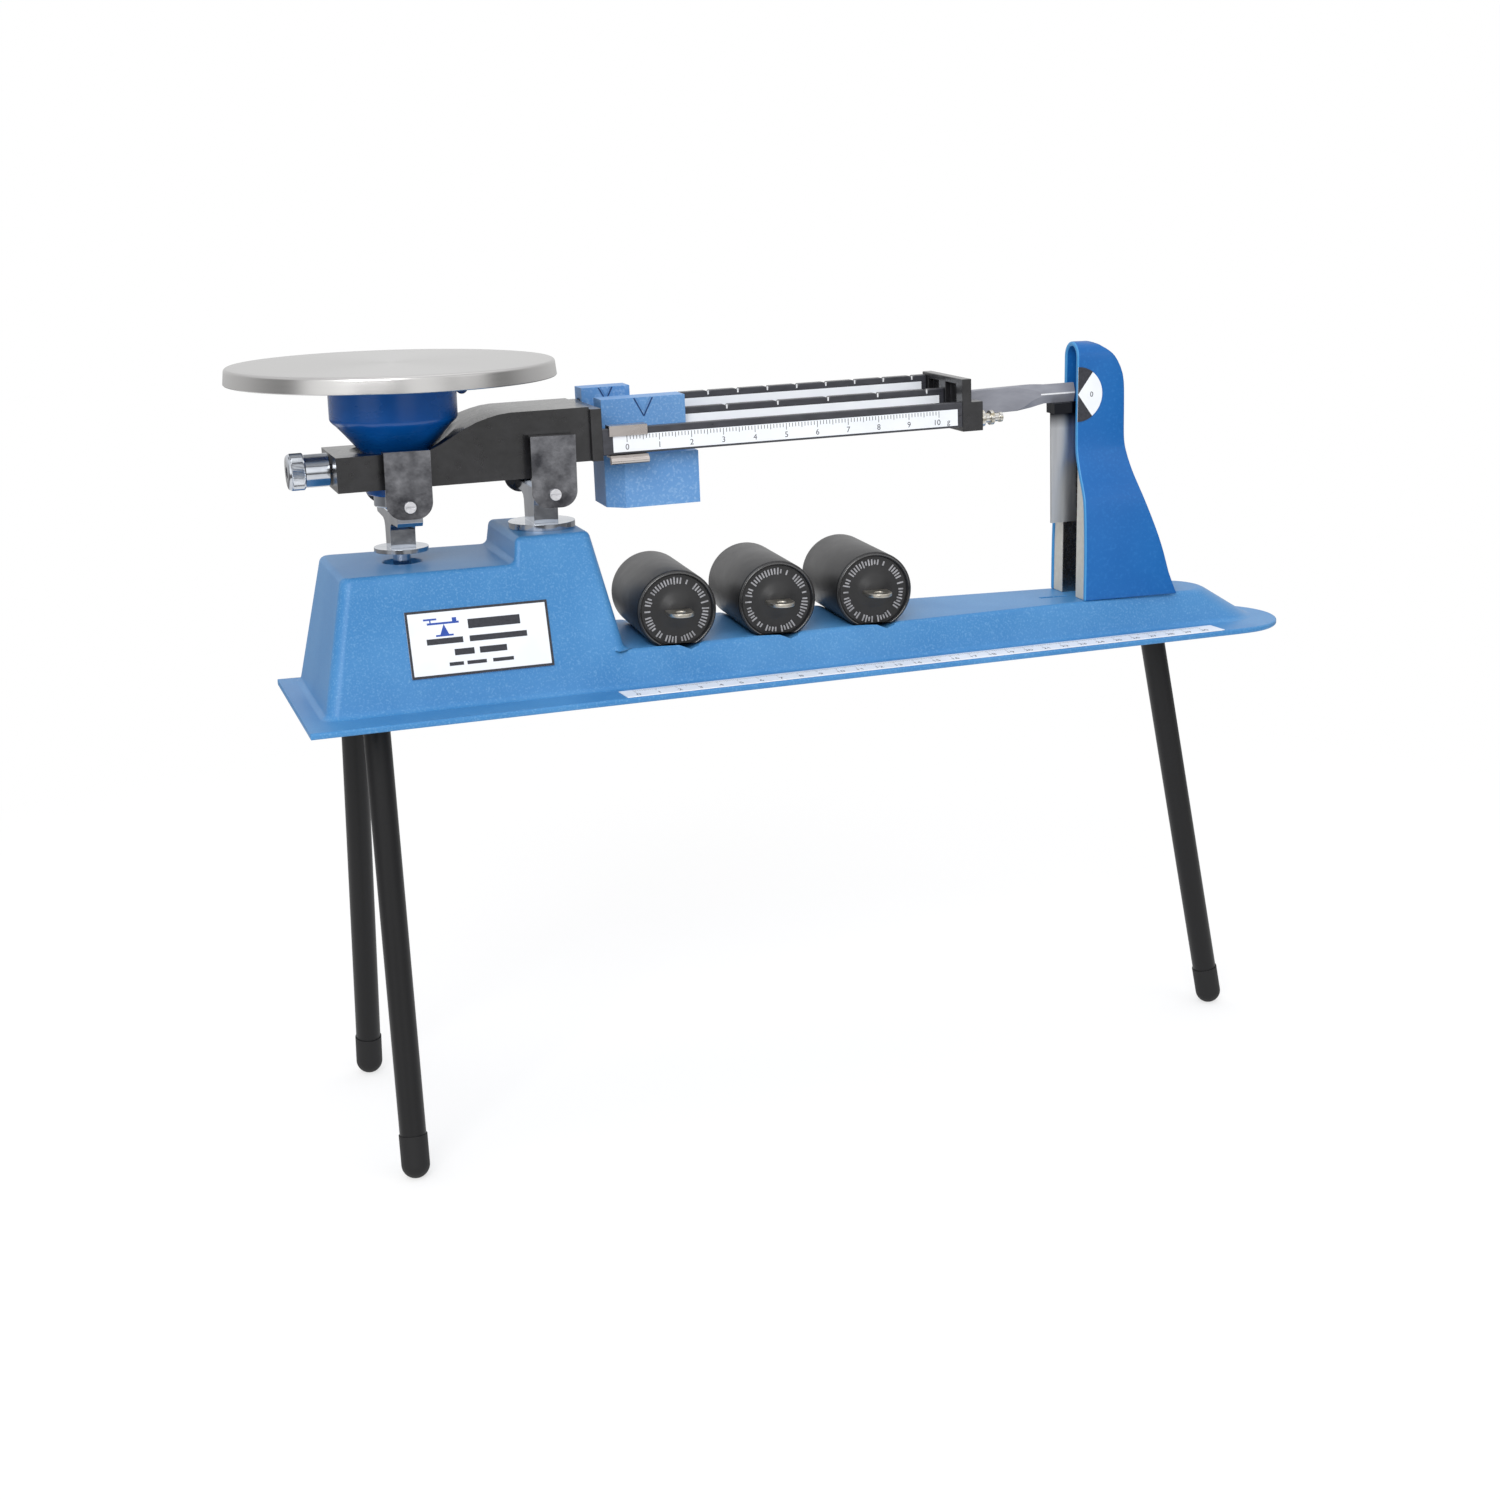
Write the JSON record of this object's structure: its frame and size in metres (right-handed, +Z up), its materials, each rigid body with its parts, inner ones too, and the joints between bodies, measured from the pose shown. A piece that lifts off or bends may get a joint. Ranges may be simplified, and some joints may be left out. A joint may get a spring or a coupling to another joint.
{
  "type": "triple beam balance",
  "caption": "Mechanical laboratory balance: round pan on a cup, pivoting beam with sliding poises, pointer tower and tripod legs.",
  "frame": {"origin": "middle of the bounding box at floor level, between the feet", "axes": "+X from the pan end to the pointer end, -Y towards the reader, +Z up"},
  "size_m": [0.5197, 0.147, 0.3603],
  "materials": {
    "blue_enamel": "satin fine-textured enamel",
    "blue_plastic": "glossy moulded plastic",
    "black_casting": "semi-gloss black enamel",
    "black_tube": "satin black powder coat",
    "black_rubber": "matte",
    "chrome": "bright plate",
    "steel": "brushed",
    "pan_steel": "fine brushed",
    "zinc_steel": "dull zinc plate",
    "brass_plated": "nickel over brass",
    "label_white": "printed label",
    "black_weight": "semi-gloss black"
  },
  "bodies": {
    "base": {"base_shell": "blue_enamel", "front_rule": "label_white", "name_plate": "label_white", "leg_front": "black_tube", "leg_rear": "black_tube", "leg_right": "black_tube", "foot_front": "black_rubber", "foot_rear": "black_rubber", "foot_right": "black_rubber", "fulcrum_yoke": "chrome", "fulcrum_cover_front": "chrome", "fulcrum_cover_rear": "chrome", "fulcrum_screw_front": "steel", "fulcrum_screw_rear": "steel", "pointer_tower": "blue_enamel", "zero_dial": "label_white", "damper_block_front": "zinc_steel", "damper_block_rear": "zinc_steel", "link_bracket": "zinc_steel", "link_fixed_pin": "steel"},
    "beam": {"beam_casting": "black_casting", "rail_front": "black_casting", "rail_middle": "black_casting", "rail_rear": "black_casting", "scale_front": "label_white", "scale_middle": "label_white", "scale_rear": "label_white", "end_plate": "black_casting", "pointer": "black_casting", "weight_stud": "brass_plated", "damper_vane": "steel", "zero_stud": "steel", "fulcrum_pin_front": "steel", "fulcrum_pin_rear": "steel", "pan_pin_front": "steel", "pan_pin_rear": "steel"},
    "knob": {"zero_knob": "chrome"},
    "hanger": {"hanger_yoke": "chrome", "hanger_stem": "chrome", "stem_nut": "chrome", "pan_cup": "blue_plastic", "cup_clip": "blue_plastic", "hanger_cover_front": "chrome", "hanger_cover_rear": "chrome", "hanger_screw_front": "steel", "hanger_screw_rear": "steel"},
    "pan_plate": {"pan": "pan_steel"},
    "link": {"check_link": "zinc_steel", "link_moving_pin": "steel"},
    "rider": {"rider_10g": "steel"},
    "large_poise": {"poise_500g": "blue_enamel"},
    "small_poise": {"poise_100g": "blue_enamel"},
    "attachment_weight_a": {"weight_a": "black_weight", "tab_a": "steel"},
    "attachment_weight_b": {"weight_b": "black_weight", "tab_b": "steel"},
    "attachment_weight_c": {"weight_c": "black_weight", "tab_c": "steel"}
  },
  "joints": [
    {"name": "beam_tilt", "type": "hinge", "parent": "base", "child": "beam", "pos_m": [-0.12093, 0, 0.3126], "axis": [0, 1, 0], "range_deg": [-3, 3]},
    {"name": "zero_adjust", "type": "hinge", "parent": "beam", "child": "knob", "pos_m": [-0.22667, 0, 0.31426], "axis": [0.9998, 0, 0.0183], "continuous": true},
    {"name": "hanger_level", "type": "hinge", "parent": "beam", "child": "hanger", "pos_m": [-0.18636, 0, 0.3114], "axis": [0, 1, 0], "range_deg": [-3, 3]},
    {"name": "link_swing", "type": "hinge", "parent": "base", "child": "link", "pos_m": [-0.12093, 0, 0.2396], "axis": [0, 1, 0], "range_deg": [-3, 3]},
    {"name": "pan_lift", "type": "slide", "parent": "hanger", "child": "pan_plate", "axis": [0, 0, 1], "range_m": [0, 0.12]},
    {"name": "rider_slide", "type": "slide", "parent": "beam", "child": "rider", "axis": [0.9998, 0, 0.0183], "range_m": [0, 0.1525]},
    {"name": "large_poise_slide", "type": "slide", "parent": "beam", "child": "large_poise", "axis": [0.9998, 0, 0.0183], "range_m": [0, 0.126]},
    {"name": "small_poise_slide", "type": "slide", "parent": "beam", "child": "small_poise", "axis": [0.9998, 0, 0.0183], "range_m": [0, 0.149]},
    {"name": "weight_a_lift", "type": "slide", "parent": "base", "child": "attachment_weight_a", "axis": [0, 0, 1], "range_m": [0, 0.016]},
    {"name": "weight_b_lift", "type": "slide", "parent": "base", "child": "attachment_weight_b", "axis": [0, 0, 1], "range_m": [0, 0.016]},
    {"name": "weight_c_lift", "type": "slide", "parent": "base", "child": "attachment_weight_c", "axis": [0, 0, 1], "range_m": [0, 0.016]}
  ],
  "couplings": [
    {"joint": "hanger_level", "follows": "beam_tilt", "ratio": -1},
    {"joint": "link_swing", "follows": "beam_tilt", "ratio": 1}
  ]
}
